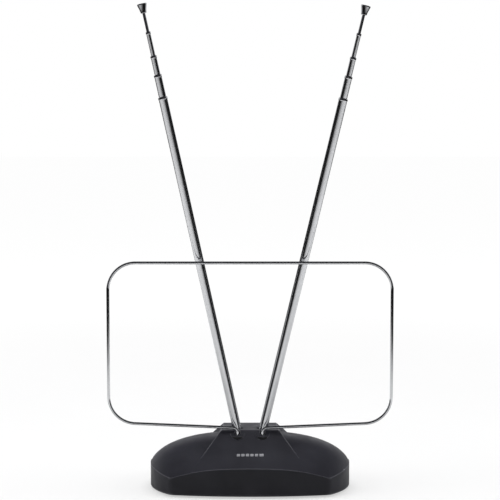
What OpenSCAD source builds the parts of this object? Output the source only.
// Rabbit ears antenna: two telescopic rods and a wire loop on a low moulded base.
// Origin: centre of the base, on the surface it stands on. +Z is up and the front faces -Y.

/* [Base] */
// Length of the base, end to end
base_length = 162.4; // [150:0.2:175]
// Depth of the base, front to back
base_depth = 92; // [84:1:100]
// Height of the flat top of the base above the surface it stands on
base_height = 48.6; // [47:0.2:52]
// Height of the rim at the corners of the base
rim_corner = 14.4; // [13:0.1:16]
// Wall thickness of the moulded housing
wall = 2.4; // [1.8:0.1:3]
// Gap between the skirt and the surface it stands on
floor_gap = 1.5; // [1:0.1:2]

/* [Rods] */
// Outward lean of the left rod from upright
left_lean = 12.4; // [0:0.1:40]
// Outward lean of the right rod from upright
right_lean = 13.4; // [0:0.1:40]
// Distance from the middle of the base to each rod pivot
pivot_x = 9; // [8.8:0.1:9.6]
// Height of the rod pivots
pivot_z = 41; // [40:0.2:42]
// Distance from the pivot to the top of the outer tube, along the rod
outer_tube_top = 282; // [240:0.5:320]
// Length of each inner section
section_length = 265; // [200:1:265]
// Rod showing above each tube, from the outer tube to the tip
showing = [18, 15.4, 19.3, 15]; // [3:0.1:240]

/* [Loop] */
// Width of the loop between wire centres
loop_width = 227.4; // [180:0.2:260]
// Height of the top wire of the loop
loop_top = 184.7; // [150:0.1:220]
// Wire diameter of the loop
loop_wire = 2.4; // [2:0.1:2.6]
// Corner radius of the loop at the wire centre
loop_corner = 22; // [10:0.5:30]

/* [Cable] */
// Diameter of the coaxial cable
cable_diameter = 5.4; // [4:0.1:6]
// Radius of the bend of the cable behind the base
cable_bend = 24; // [20:1:35]

/* [Hidden] */

$fn = 64;
running = 0.05;      // radial clearance of a running fit
snug = 0.02;         // radial clearance of a fixed part in its hole
overshoot = 1;       // how far a cutting shape runs past a face

// Base outline: shallow front and back arcs meet tighter end arcs at four corners
half_length = base_length / 2;
half_depth = base_depth / 2;
corner_x = half_length - 17.7;
corner_y = half_depth - 6;
function arc_radius(half_chord, rise) = (half_chord ^ 2 + rise ^ 2) / (2 * rise);
end_radius = arc_radius(corner_y, half_length - corner_x);
end_centre = half_length - end_radius;

// Rim: the line where the upper surface meets the walls is highest at the middle of the front
// and back, lowest at the corners, and rises again towards the middle of each end
rim_middle = 23.5;
rim_end = 18;
rim_power = 2.6;

// Dome: a low mound, highest along the length of the base
dome_top = 43.4;
dome_length_power = 2.644;
dome_end_power = 0.588;
dome_depth_power = 2.2;

// Spine: the flat-topped rib that runs over the dome from front to back
top_half_depth = 15;
top_front_width = 23.4;
top_rear_width = 21.7;
rim_front_width = 47; // half-width of the spine where it reaches the rim
rim_rear_width = 45.3;
spine_draft = 0.5;    // sideways spread of the side walls per millimetre of drop
least_side = 0.3;     // the side walls never quite close up
wall_drop = 1.2;      // vertical wall thickness of the top as a share of the wall

// Grid of the upper surface. Along the length: 0 is the middle, 1 the edge of the spine, 2 its foot
// on the dome, 3 the corner of the plan and 4 its end. Along the depth: 0 is the middle, 1 the rim.
end_trim = 0.04;      // the very end of the plan is a narrow flat
brow = top_half_depth / half_depth;
grid_half = [0.15, 0.34, 0.67, 1, 2, 2.25, 2.5, 2.75, 3, 3.15, 3.3, 3.45, 3.6, 3.75, 3.88, 4];
grid_front = [brow / 2, brow, 0.41, 0.52, 0.64, 0.77, 0.9, 1];

// Rod pivots and slots
pivot_y = -6.5;
slot_half_width = 4;
slot_inner_x = 5.3;
slot_outer_x = 22;
ear_gap = 3.5;
ear_thickness = 1;
ear_radius = 3.4;
tongue_thickness = 2.6;
washer_thickness = 0.4;
washer_radius = 3;
pin_radius = 1.5;
pin_head_radius = 2.4;
pin_head = 0.8;
carrier_z = 30;
carrier_thickness = 2.5;
carrier_from = [-26, -10.8];
carrier_size = [52, 20.8];
strap_thickness = 1.2;
strap_width = 10;
carrier_top = carrier_z + carrier_thickness;
tongue_radius = 3;
plug_top = 17;
shoulder = 1;

// Rod sections, outer tube first; each inner section slides in the one before
section_radius = [3.5, 2.95, 2.35, 1.75, 1.2];
tube_wall = 0.35;
tube_foot = 6;
lip_depth = 1.5;
bead_length = 2.2;
bead_rise = 0.25;
bead_ramp = 0.4;       // length over which the bead swells
bead_crown = 0.5;      // length over which it closes again
mouth_chamfer = 0.1;
sleeve_length = 14;
sleeve_slit = 0.6;
cap_height = 7.6;
cap_top_radius = 3.9;
cap_foot_radius = 2.3;
cap_grip = 4;
cap_flare = 1.25;      // 1 is a straight cone, more is a trumpet
cap_rim = 0.8;         // height of the straight rim, with its chamfer
cap_chamfer = 0.3;
cap_lip = 0.9;         // width of the flat top of the rim, chamfer included
cap_slope = 0.7;       // the dish slopes in and down by this much
cap_dish = 0.9;        // depth of the dish
section_top = [for (i = [0 : 4]) outer_tube_top + sum_first(showing, i)];

// Loop
loop_y = -16.7;
loop_foot_x = 10;
loop_low_z = 51.05;
loop_droop = 3.5;      // the bottom wires run down towards the sockets
arc_steps = 10;
loop_foot_radius = 4;
socket_top = 44.5;
socket_depth = 14.5;
socket_boss_radius = 5.6;
socket_pocket_radius = 2.4;
contact_radius = 2.2;
boss_foot_z = 28;
socket_flange = 1;
socket_flange_radius = 3.4;
socket_shy = 0.3;      // the contact ends this far below the mouth
wire_sides = 20;

// Fixings
cover_thickness = 2.4;
cover_top = floor_gap + cover_thickness;
cover_gap = 0.2;       // gap between the cover and the wall
cover_screw_at = [55, 24];
cover_boss_radius = 3.6;
foot_at = [44, 30];
foot_radius = 6;
foot_recess = 0.7;
foot_fit = 0.1;
foot_chamfer = 0.5;
carrier_boss_at = [16, 5];
carrier_boss_radius = 3.2;
screw_radius = 1.43;
screw_hole = screw_radius + snug;
screw_head_radius = 2.7;
screw_head = 1.4;
head_sunk = 0.1;       // the cover screws' heads lie this far inside the cover
head_clear = 0.3;
screw_length = 10;
screw_clear = 1.6;
stake_radius = 2;
stake_head = 1;
stake_head_radius = 3.2;
board_post_radius = 2.6;
board_screw = 1.1;
board_screw_length = 6;
board_screw_head = 1.2;
board_screw_head_radius = 2.1;
board_screw_spare = 0.5; // the screws stop this far short of the ends of their holes

// Electronics
board_z = 13;
board_thickness = 1.6;
board_top = board_z + board_thickness;
board_size = [44, 32];
board_y = 2;
board_hole_at = [18, 12];
core_size = [15, 8, 8];
core_hole = 1.8;
core_hole_x = 3.5;
winding_radius = 0.4;
winding_gap = 0.5;     // gap between the core's faces and the turns
lead_radius = 0.6;
lead_gap = 0.1;        // the leads stop this far from what they join
lead_steps = 12;
lead_sides = 12;
rod_lead_x = 13;
loop_lead_at = [7, -13];
loop_lead_aside = 2.3; // the loop leads leave this far to the side of the sockets

// Ballast
weight_size = [24, 40, 8];
weight_x = 38;

// Cable and plug
cable_radius = cable_diameter / 2;
cable_exit_z = 10.4;
cable_straight = 2;
cable_start_y = 32;
grommet_tail = 10;
grommet_slack = 0.1;   // gap between each flange and the wall, inside
grommet_inner_flange = 1.6;
grommet_outer_flange = 1.8;
grommet_tip = 0.7;     // wall left at the end of the tail
cable_steps = 24;
plug_z = 6.6;
plug_lead = 14;
plug_sleeve_radius = 4.1;
plug_grip = 10;        // length of cable inside the sleeve
plug_collar = 2;
plug_pin_radius = 0.5;
plug_pin_length = 12.4;
plug_pin_gap = 0.1;
nut_start = 2.3;
nut_back = 2;          // thickness of the nut's back wall
nut_across_flats = 11;
nut_length = 9;
nut_bore = 4.76;
neck_radius = 3.4;
neck_length = 6;
flange_radius = 4.4;
flange_thickness = 1.4;
grommet_neck = cable_radius + 1.8;
grommet_flange = cable_radius + 3.4;

function sum_first(list, count) = count == 0 ? 0 : list[count - 1] + sum_first(list, count - 1);

// ---------------------------------------------------------------- helpers

// Solid through a list of rings that all have the same number of points
module skin(rings) {
    sides = len(rings[0]);
    last = len(rings) - 1;
    polyhedron(
        points = [for (ring = rings) each ring],
        faces = concat(
            [[for (i = [0 : sides - 1]) i]],
            [for (k = [0 : last - 1]) for (i = [0 : sides - 1])
                let (j = (i + 1) % sides)
                each [[k * sides + i, (k + 1) * sides + i, k * sides + j],
                      [k * sides + j, (k + 1) * sides + i, (k + 1) * sides + j]]],
            [[for (i = [sides - 1 : -1 : 0]) last * sides + i]]
        )
    );
}

// Rings of a round wire along a path that never runs along the reference direction
function unit(v) = v / norm(v);
function path_heading(path, i) =
    unit(path[min(i + 1, len(path) - 1)] - path[max(i - 1, 0)]);
function wire_rings(path, radius, sides, reference) = [
    for (i = [0 : len(path) - 1])
        let (ahead = path_heading(path, i))
        let (across = unit(cross(ahead, reference)))
        let (above = cross(ahead, across))
        [for (k = [0 : sides - 1])
            path[i] + radius * (cos(360 * k / sides) * across + sin(360 * k / sides) * above)]
];

// Cubic curve from one point to another, leaving and arriving along two handles
function curve_point(a, b, c, d, t) =
    (1 - t) ^ 3 * a + 3 * (1 - t) ^ 2 * t * b + 3 * (1 - t) * t ^ 2 * c + t ^ 3 * d;
function curve(a, b, c, d, steps) = [for (i = [0 : steps]) curve_point(a, b, c, d, i / steps)];

module both_sides() {
    for (flip = [0, 1])
        mirror([flip, 0, 0]) children();
}

module at_four(place) {
    for (x = [-place.x, place.x])
        for (y = [-place.y, place.y])
            translate([x, y, 0]) children();
}

module tube(outer, inner, length) {
    difference() {
        cylinder(r = outer, h = length);
        translate([0, 0, -overshoot]) cylinder(r = inner, h = length + 2 * overshoot);
    }
}

// Screw with its head below z = 0
module pan_screw(shank, length, head_radius, head) {
    translate([0, 0, -head]) {
        cylinder(r = shank, h = length + head);
        cylinder(r = head_radius, h = head);
    }
}

// ---------------------------------------------------------------- base

// Half-depth of the base at a distance x from its middle
front_radius = arc_radius(corner_x, half_depth - corner_y);
function half_depth_at(x) =
    let (along = min(abs(x), half_length))
    along < corner_x ? half_depth - front_radius + sqrt(front_radius ^ 2 - along ^ 2)
                     : sqrt(end_radius ^ 2 - (along - end_centre) ^ 2);

// Height of the rim, and of the dome along its middle, at a distance x from the middle of the base
function rim_height(x) =
    let (along = min(abs(x), half_length))
    along < corner_x
        ? rim_middle - (rim_middle - rim_corner) * (along / corner_x) ^ rim_power
        : rim_corner + (rim_end - rim_corner) * (along - corner_x) / (half_length - corner_x);
function ridge_height(x) =
    let (along = min(abs(x) / half_length, 1))
    rim_end + (dome_top - rim_end) * (1 - along ^ dome_length_power) ^ dome_end_power;
function dome_height(x, t) = ridge_height(x) - (ridge_height(x) - rim_height(x)) * abs(t) ^ dome_depth_power;

// Height and half-width of the top of the spine, and where its side wall meets the dome
function slope_share(t) = max((abs(t) - brow) / (1 - brow), 0);
function spine_height(x, t) = base_height - (base_height - rim_height(x)) * slope_share(t);
function spine_edge(t) =
    let (rearward = min(max((t / brow + 1) / 2, 0), 1))
    let (top_width = top_front_width + (top_rear_width - top_front_width) * rearward)
    let (rim_width = t < 0 ? rim_front_width : rim_rear_width)
    top_width + (rim_width - top_width) * slope_share(t);
function spine_foot(t, x, rounds = 8) =
    let (edge = spine_edge(t))
    rounds == 0 ? max(x, edge + least_side)
                : spine_foot(t, edge + spine_draft * (spine_height(edge, t) - dome_height(x, t)), rounds - 1);

function grid_x(u, t) =
    let (edge = spine_edge(t))
    let (foot = spine_foot(t, edge))
    u <= 1 ? u * edge
           : u <= 2 ? edge + (u - 1) * (foot - edge)
                    : u <= 3 ? foot + (u - 2) * (corner_x - foot)
                             : corner_x + (half_length - end_trim - corner_x) * sin(90 * (u - 3));
function grid_point(u, t) =
    let (x = grid_x(abs(u), t))
    [sign(u) * x, t * half_depth_at(x), abs(u) <= 1 ? spine_height(x, t) : dome_height(x, t)];

// A list of positions with its mirror image before it and the middle between them
function mirrored(list) = concat([for (i = [len(list) - 1 : -1 : 0]) -list[i]], [0], list);
function drawn_in(p, inset) = [p.x * (1 - inset / half_length), p.y * (1 - inset / half_depth)];

// Plan of the base, drawn in by inset
module footprint(inset) {
    along = mirrored(grid_half);
    polygon(concat(
        [for (u = along) drawn_in(grid_point(u, -1), inset)],
        [for (u = along) drawn_in(grid_point(-u, 1), inset)]));
}

// Solid form of the base above a height, with its sides drawn in by inset and its top lowered
module mound(foot_z, inset, lowered) {
    depths = [for (t = mirrored(grid_front)) -t];
    skin([for (u = mirrored(grid_half))
        let (line = [for (t = depths)
            let (p = grid_point(u, t))
            concat(drawn_in(p, inset), [p.z - lowered])])
        let (rear = line[0])
        let (front = line[len(line) - 1])
        concat([[front.x, front.y, foot_z], [rear.x, rear.y, foot_z]], line)]);
}

module rod_slot() {
    ends = [slot_inner_x + slot_half_width, slot_outer_x - slot_half_width];
    translate([0, pivot_y, pivot_z]) {
        for (x = ends)
            translate([x, 0, 0]) cylinder(r = slot_half_width, h = base_height);
        translate([ends[0], -slot_half_width, 0])
            cube([ends[1] - ends[0], 2 * slot_half_width, base_height]);
    }
}

module base_housing() {
    color("#24262b")
    difference() {
        union() {
            difference() {
                mound(floor_gap, 0, 0);
                mound(0, wall, wall_drop * wall);
            }
            intersection() {
                union() {
                    translate([0, 0, cover_top])
                        at_four(cover_screw_at) cylinder(r = cover_boss_radius, h = base_height);
                    both_sides()
                        translate([carrier_boss_at.x, carrier_boss_at.y, carrier_top])
                            cylinder(r = carrier_boss_radius, h = base_height);
                }
                mound(0, 0, wall / 2);
            }
            both_sides()
                translate([loop_foot_x, loop_y, boss_foot_z])
                    cylinder(r = socket_boss_radius, h = socket_top - boss_foot_z);
        }
        both_sides() {
            rod_slot();
            translate([loop_foot_x, loop_y, socket_top])
                cylinder(r = socket_pocket_radius, h = base_height);
            translate([loop_foot_x, loop_y, boss_foot_z - overshoot])
                cylinder(r = contact_radius, h = base_height);
            translate([carrier_boss_at.x, carrier_boss_at.y, carrier_z])
                cylinder(r = screw_hole, h = screw_length + overshoot);
        }
        at_four(cover_screw_at)
            cylinder(r = screw_hole, h = cover_top + screw_length + overshoot);
        translate([0, half_depth + overshoot, cable_exit_z])
            rotate([90, 0, 0]) cylinder(r = grommet_neck + snug, h = 2 * wall);
    }
}

module bottom_cover() {
    color("#1d1f23")
    difference() {
        union() {
            translate([0, 0, floor_gap]) linear_extrude(cover_thickness) footprint(wall + cover_gap);
            translate([0, board_y, cover_top])
                at_four(board_hole_at) cylinder(r = board_post_radius, h = board_z - cover_top);
            both_sides()
                translate([weight_x, 0, cover_top]) {
                    cylinder(r = stake_radius, h = weight_size.z + stake_head);
                    translate([0, 0, weight_size.z + snug])
                        cylinder(r = stake_head_radius, h = stake_head);
                }
        }
        at_four(cover_screw_at) {
            cylinder(r = screw_clear, h = base_height);
            cylinder(r = screw_head_radius + head_clear, h = floor_gap + screw_head + head_sunk);
        }
        at_four(foot_at) cylinder(r = foot_radius + foot_fit, h = floor_gap + foot_recess);
        translate([0, board_y, board_z - board_screw_length])
            at_four(board_hole_at) cylinder(r = board_screw + snug, h = base_height);
    }
}

module rubber_feet() {
    color("#101114") at_four(foot_at)
        rotate_extrude()
            polygon([[0, 0], [foot_radius - foot_chamfer, 0], [foot_radius, foot_chamfer],
                     [foot_radius, floor_gap + foot_recess], [0, floor_gap + foot_recess]]);
}

module cover_screws() {
    color("silver") at_four(cover_screw_at)
        translate([0, 0, floor_gap + screw_head + head_sunk])
            pan_screw(screw_radius, cover_top + screw_length - floor_gap - screw_head,
                      screw_head_radius, screw_head);
}

module ballast_weights() {
    color("dimgray") both_sides()
        translate([weight_x - weight_size.x / 2, -weight_size.y / 2, cover_top])
            difference() {
                cube(weight_size);
                translate([weight_size.x / 2, weight_size.y / 2, -overshoot])
                    cylinder(r = stake_radius + snug, h = weight_size.z + 2 * overshoot);
            }
}

// ---------------------------------------------------------------- rod pivots

module pivot_carrier() {
    color("#2b2d31")
    difference() {
        translate([carrier_from.x, carrier_from.y, carrier_z])
            cube([carrier_size.x, carrier_size.y, carrier_thickness]);
        both_sides() {
            translate([carrier_boss_at.x, carrier_boss_at.y, 0])
                cylinder(r = screw_clear, h = base_height);
            translate([pivot_x, pivot_y, 0]) cylinder(r = pin_radius + snug, h = base_height);
        }
    }
}

module carrier_screws() {
    color("silver") both_sides()
        translate([carrier_boss_at.x, carrier_boss_at.y, carrier_z])
            pan_screw(screw_radius, screw_length, screw_head_radius, screw_head);
}

module bracket_rivets() {
    color("gold") both_sides()
        translate([pivot_x, pivot_y, carrier_z]) {
            translate([0, 0, -pin_head]) cylinder(r = pin_head_radius, h = pin_head);
            cylinder(r = pin_radius, h = carrier_thickness + strap_thickness + pin_head);
            translate([0, 0, carrier_thickness + strap_thickness])
                cylinder(r = ear_gap / 2 - running, h = pin_head);
        }
}

// Fork that holds the rod between its two ears
module pivot_bracket() {
    drop = pivot_z - carrier_top;
    difference() {
        union() {
            translate([-strap_width / 2, -ear_gap / 2 - ear_thickness, -drop])
                cube([strap_width, ear_gap + 2 * ear_thickness, strap_thickness]);
            for (y = [-ear_gap / 2 - ear_thickness, ear_gap / 2])
                translate([0, y, 0]) {
                    translate([-ear_radius, 0, -drop]) cube([2 * ear_radius, ear_thickness, drop]);
                    rotate([-90, 0, 0]) cylinder(r = ear_radius, h = ear_thickness);
                }
        }
        across_pivot(pin_radius + snug, ear_gap + 4 * ear_thickness);
        translate([0, 0, -drop - overshoot]) cylinder(r = pin_radius + snug, h = drop);
    }
}

module across_pivot(radius, length) {
    translate([0, -length / 2, 0]) rotate([-90, 0, 0]) cylinder(r = radius, h = length);
}

module pivot_pin() {
    grip = ear_gap + 2 * ear_thickness;
    across_pivot(pin_radius, grip + pin_head);
    for (flip = [0, 1])
        mirror([0, flip, 0])
            translate([0, grip / 2, 0])
                rotate([-90, 0, 0]) cylinder(r = pin_head_radius, h = pin_head);
}

module spring_washers() {
    gap = (ear_gap - tongue_thickness) / 2;
    for (flip = [0, 1])
        mirror([0, flip, 0])
            translate([0, tongue_thickness / 2 + (gap - washer_thickness) / 2, 0])
                rotate([-90, 0, 0]) tube(washer_radius, pin_radius + running, washer_thickness);
}

module at_pivot(side) {
    translate([side * pivot_x, pivot_y, pivot_z]) children();
}

module left_pivot_bracket() { color("silver") at_pivot(-1) pivot_bracket(); }
module right_pivot_bracket() { color("silver") at_pivot(1) pivot_bracket(); }
module left_pivot_pin() { color("gold") at_pivot(-1) pivot_pin(); }
module right_pivot_pin() { color("gold") at_pivot(1) pivot_pin(); }
module left_spring_washers() { color("gray") at_pivot(-1) spring_washers(); }
module right_spring_washers() { color("gray") at_pivot(1) spring_washers(); }

// ---------------------------------------------------------------- rods

// Rods are drawn along +Z from the pivot, then leaned outwards
module on_rod(side) {
    lean = side < 0 ? -left_lean : right_lean;
    at_pivot(side) rotate([0, lean, 0]) children();
}

// Section n counts from 1 for the outer tube to 5 for the tip rod
function section_foot(n) = n == 1 ? tube_foot : section_top[n - 1] - section_length;
function bore_radius(n) = section_radius[n - 1] - tube_wall;

module rod_knuckle() {
    difference() {
        union() {
            across_pivot(tongue_radius, tongue_thickness);
            translate([-tongue_radius, -tongue_thickness / 2, 0])
                cube([2 * tongue_radius, tongue_thickness, tube_foot]);
            translate([0, 0, tube_foot - shoulder]) {
                cylinder(r = section_radius[0], h = shoulder);
                cylinder(r = bore_radius(1) - snug, h = plug_top - tube_foot + shoulder);
            }
        }
        across_pivot(pin_radius + running, 2 * tongue_thickness);
    }
}

// Drawn tube with a bead round its mouth and an inner lip that holds the next section
module rod_tube(n) {
    outer = section_radius[n - 1];
    lip = section_radius[n] + running;
    foot = section_foot(n);
    length = section_top[n - 1] - foot;
    translate([0, 0, foot])
        rotate_extrude()
            polygon([[bore_radius(n), 0], [outer, 0], [outer, length - bead_length],
                     [outer + bead_rise, length - bead_length + bead_ramp],
                     [outer + bead_rise, length - bead_crown],
                     [outer - mouth_chamfer, length], [lip, length],
                     [lip, length - lip_depth], [bore_radius(n), length - lip_depth]]);
}

// Split spring sleeve at the foot of an inner section
module friction_sleeve(n) {
    outer = bore_radius(n - 1) - running;
    translate([0, 0, section_foot(n)])
        difference() {
            tube(outer, section_radius[n - 1] + snug / 2, sleeve_length);
            translate([0, -sleeve_slit / 2, -overshoot])
                cube([2 * outer, sleeve_slit, sleeve_length + 2 * overshoot]);
        }
}

module tip_rod() {
    translate([0, 0, section_foot(5)])
        cylinder(r = section_radius[4], h = section_length + cap_grip);
}

// Trumpet-shaped end cap with a dished top
module tip_cap() {
    flare_steps = 10;
    flare = [for (i = [0 : flare_steps])
        let (t = i / flare_steps)
        [cap_foot_radius + (cap_top_radius - cap_foot_radius) * t ^ cap_flare,
         (cap_height - cap_rim) * t]];
    bore = section_radius[4] + snug / 2;
    translate([0, 0, section_top[4]])
        rotate_extrude()
            polygon(concat(flare,
                [[cap_top_radius, cap_height - cap_chamfer],
                 [cap_top_radius - cap_chamfer, cap_height],
                 [cap_top_radius - cap_lip, cap_height],
                 [cap_top_radius - cap_lip - cap_slope, cap_height - cap_slope],
                 [0, cap_height - cap_dish], [0, cap_grip + snug],
                 [bore, cap_grip + snug], [bore, 0]]));
}

module left_rod_knuckle() { color("silver") on_rod(-1) rod_knuckle(); }
module left_tube_1() { color("gainsboro") on_rod(-1) rod_tube(1); }
module left_tube_2() { color("gainsboro") on_rod(-1) rod_tube(2); }
module left_tube_3() { color("gainsboro") on_rod(-1) rod_tube(3); }
module left_tube_4() { color("gainsboro") on_rod(-1) rod_tube(4); }
module left_tip_rod() { color("gainsboro") on_rod(-1) tip_rod(); }
module left_tip_cap() { color("gainsboro") on_rod(-1) tip_cap(); }
module left_friction_sleeve_2() { color("gold") on_rod(-1) friction_sleeve(2); }
module left_friction_sleeve_3() { color("gold") on_rod(-1) friction_sleeve(3); }
module left_friction_sleeve_4() { color("gold") on_rod(-1) friction_sleeve(4); }
module left_friction_sleeve_5() { color("gold") on_rod(-1) friction_sleeve(5); }

module right_rod_knuckle() { color("silver") on_rod(1) rod_knuckle(); }
module right_tube_1() { color("gainsboro") on_rod(1) rod_tube(1); }
module right_tube_2() { color("gainsboro") on_rod(1) rod_tube(2); }
module right_tube_3() { color("gainsboro") on_rod(1) rod_tube(3); }
module right_tube_4() { color("gainsboro") on_rod(1) rod_tube(4); }
module right_tip_rod() { color("gainsboro") on_rod(1) tip_rod(); }
module right_tip_cap() { color("gainsboro") on_rod(1) tip_cap(); }
module right_friction_sleeve_2() { color("gold") on_rod(1) friction_sleeve(2); }
module right_friction_sleeve_3() { color("gold") on_rod(1) friction_sleeve(3); }
module right_friction_sleeve_4() { color("gold") on_rod(1) friction_sleeve(4); }
module right_friction_sleeve_5() { color("gold") on_rod(1) friction_sleeve(5); }

// ---------------------------------------------------------------- loop

// The path lies in the plane of the loop; its points are [x, z]
function arc(centre, radius, from, to) = [
    for (i = [0 : arc_steps])
        let (turn = from + (to - from) * i / arc_steps)
        centre + radius * [cos(turn), sin(turn)]
];
side_x = loop_width / 2;
corner_centre_x = side_x - loop_corner;
loop_tilt = atan2(loop_droop, corner_centre_x - loop_foot_x);
foot_centre = [loop_foot_x + loop_foot_radius, loop_low_z - loop_foot_radius * cos(loop_tilt)];
low_run = corner_centre_x - foot_centre.x + (loop_corner + loop_foot_radius) * sin(loop_tilt);
low_centre_z = loop_low_z + low_run * tan(loop_tilt) + loop_corner * cos(loop_tilt);
right_half = concat(
    [[loop_foot_x, socket_top - socket_depth]],
    arc(foot_centre, loop_foot_radius, 180, 90 + loop_tilt),
    arc([corner_centre_x, low_centre_z], loop_corner, loop_tilt - 90, 0),
    arc([corner_centre_x, loop_top - loop_corner], loop_corner, 0, 90)
);
left_half = [for (i = [len(right_half) - 1 : -1 : 0]) [-right_half[i].x, right_half[i].y]];

module loop_wire() {
    path = [for (p = concat(right_half, left_half)) [p.x, loop_y, p.y]];
    color("gainsboro") skin(wire_rings(path, loop_wire / 2, wire_sides, [0, 1, 0]));
}

module loop_socket() {
    length = socket_top - boss_foot_z;
    translate([loop_foot_x, loop_y, boss_foot_z]) {
        translate([0, 0, -socket_flange])
            tube(socket_flange_radius, loop_wire / 2 + running, socket_flange);
        tube(contact_radius - snug, loop_wire / 2 + running, length - socket_shy);
    }
}
module left_loop_socket() { color("gold") mirror([1, 0, 0]) loop_socket(); }
module right_loop_socket() { color("gold") loop_socket(); }

// ---------------------------------------------------------------- electronics

module balun_board() {
    color("#b8a05a")
    difference() {
        translate([-board_size.x / 2, board_y - board_size.y / 2, board_z])
            cube([board_size.x, board_size.y, board_thickness]);
        translate([0, board_y, 0])
            at_four(board_hole_at) cylinder(r = board_screw + running, h = base_height);
    }
}

module board_screws() {
    color("silver") translate([0, board_y, board_z + board_thickness])
        at_four(board_hole_at)
            mirror([0, 0, 1])
                pan_screw(board_screw, board_screw_length + board_thickness - board_screw_spare,
                          board_screw_head_radius, board_screw_head);
}

// Two-hole ferrite block
module balun_core() {
    color("#3a3633")
    translate([0, board_y, board_top])
        difference() {
            translate([-core_size.x / 2, -core_size.y / 2, 0]) cube(core_size);
            for (x = [-core_hole_x, core_hole_x])
                translate([x, core_size.y, core_size.z / 2])
                    rotate([90, 0, 0]) cylinder(r = core_hole, h = 2 * core_size.y);
        }
}

// Turns of enamelled wire through both holes of the core
module balun_windings() {
    reach = core_size.y / 2 + winding_gap;
    color("#b5652b")
    for (turn = [-1 : 1])
        translate([0, board_y, board_top + core_size.z / 2 + turn])
            for (flip = [0, 1])
                mirror([0, flip, 0]) {
                    for (x = [-core_hole_x, core_hole_x])
                        translate([x, reach, 0]) rotate([90, 0, 0])
                            cylinder(r = winding_radius, h = reach);
                    translate([0, reach, 0])
                        rotate_extrude(angle = 180)
                            translate([core_hole_x, 0]) circle(winding_radius, $fn = 24);
                }
}

module lead(from, to) {
    sag = [0, 0, (from.z - to.z) / 2];
    path = curve(from, from - sag, to + sag, to, lead_steps);
    skin(wire_rings(path, lead_radius, lead_sides, [1, 0, 0]));
}
rod_lead_from = [pivot_x, pivot_y, carrier_z - pin_head - lead_gap];
rod_lead_to = [rod_lead_x, pivot_y, board_top + lead_gap];
loop_lead_from = [loop_foot_x - loop_lead_aside, loop_y, boss_foot_z - socket_flange - lead_gap];
loop_lead_to = [loop_lead_at.x, board_y + loop_lead_at.y, board_top + lead_gap];
module left_rod_lead() { color("firebrick") mirror([1, 0, 0]) lead(rod_lead_from, rod_lead_to); }
module right_rod_lead() { color("firebrick") lead(rod_lead_from, rod_lead_to); }
module left_loop_lead() { color("navy") mirror([1, 0, 0]) lead(loop_lead_from, loop_lead_to); }
module right_loop_lead() { color("navy") lead(loop_lead_from, loop_lead_to); }

// ---------------------------------------------------------------- cable and plug

module cable_grommet() {
    inside = half_depth - wall - grommet_slack;
    color("#16171a")
    translate([0, 0, cable_exit_z]) rotate([-90, 0, 0])
        difference() {
            union() {
                translate([0, 0, inside - grommet_inner_flange])
                    cylinder(r = grommet_flange, h = grommet_inner_flange);
                translate([0, 0, inside]) cylinder(r = grommet_neck, h = wall + 2 * grommet_slack);
                translate([0, 0, half_depth + grommet_slack / 2])
                    cylinder(r = grommet_flange, h = grommet_outer_flange);
                translate([0, 0, half_depth])
                    cylinder(r1 = grommet_neck, r2 = cable_radius + grommet_tip, h = grommet_tail);
            }
            cylinder(r = cable_radius + snug, h = base_depth);
        }
}

cable_start = [0, cable_start_y, cable_exit_z];
cable_leave = [0, half_depth + grommet_tail + cable_straight, cable_exit_z];
cable_arrive = [cable_bend, cable_leave.y + cable_bend, plug_z];
cable_end = cable_arrive + [plug_lead, 0, 0];
module coax_cable() {
    handle = 0.6 * cable_bend;
    bent = curve(cable_leave, cable_leave + [0, handle, 0], cable_arrive - [handle, 0, 0],
                 cable_arrive, cable_steps);
    color("#16171a")
        skin(wire_rings(concat([cable_start], bent, [cable_end]), cable_radius, wire_sides, [0, 0, 1]));
}

// The plug is drawn along +X from the end of the cable
module on_plug() {
    translate(cable_end) rotate([0, 90, 0]) children();
}

module plug_sleeve() {
    color("silver") on_plug()
        difference() {
            union() {
                translate([0, 0, -plug_grip])
                    cylinder(r = plug_sleeve_radius, h = plug_grip + plug_collar);
                cylinder(r = neck_radius, h = neck_length);
                translate([0, 0, neck_length - flange_thickness])
                    cylinder(r = flange_radius, h = flange_thickness);
            }
            translate([0, 0, -plug_grip - overshoot])
                cylinder(r = cable_radius + snug, h = plug_grip + overshoot);
            cylinder(r = plug_pin_radius + snug, h = neck_length + overshoot);
        }
}

module plug_pin() {
    color("#b5652b") on_plug()
        translate([0, 0, plug_pin_gap]) cylinder(r = plug_pin_radius, h = plug_pin_length);
}

module plug_nut() {
    color("silver") on_plug()
        translate([0, 0, nut_start])
            difference() {
                cylinder(r = nut_across_flats / 2 / cos(30), h = nut_length, $fn = 6);
                translate([0, 0, -overshoot]) cylinder(r = neck_radius + running, h = nut_length);
                translate([0, 0, nut_back]) cylinder(r = nut_bore, h = nut_length);
            }
}

base_housing();
bottom_cover();
rubber_feet();
cover_screws();
ballast_weights();
pivot_carrier();
carrier_screws();
bracket_rivets();
left_pivot_bracket();
left_pivot_pin();
left_spring_washers();
right_pivot_bracket();
right_pivot_pin();
right_spring_washers();
left_rod_knuckle();
left_tube_1();
left_tube_2();
left_tube_3();
left_tube_4();
left_tip_rod();
left_tip_cap();
left_friction_sleeve_2();
left_friction_sleeve_3();
left_friction_sleeve_4();
left_friction_sleeve_5();
right_rod_knuckle();
right_tube_1();
right_tube_2();
right_tube_3();
right_tube_4();
right_tip_rod();
right_tip_cap();
right_friction_sleeve_2();
right_friction_sleeve_3();
right_friction_sleeve_4();
right_friction_sleeve_5();
loop_wire();
left_loop_socket();
right_loop_socket();
balun_board();
board_screws();
balun_core();
balun_windings();
left_rod_lead();
right_rod_lead();
left_loop_lead();
right_loop_lead();
cable_grommet();
coax_cable();
plug_sleeve();
plug_pin();
plug_nut();
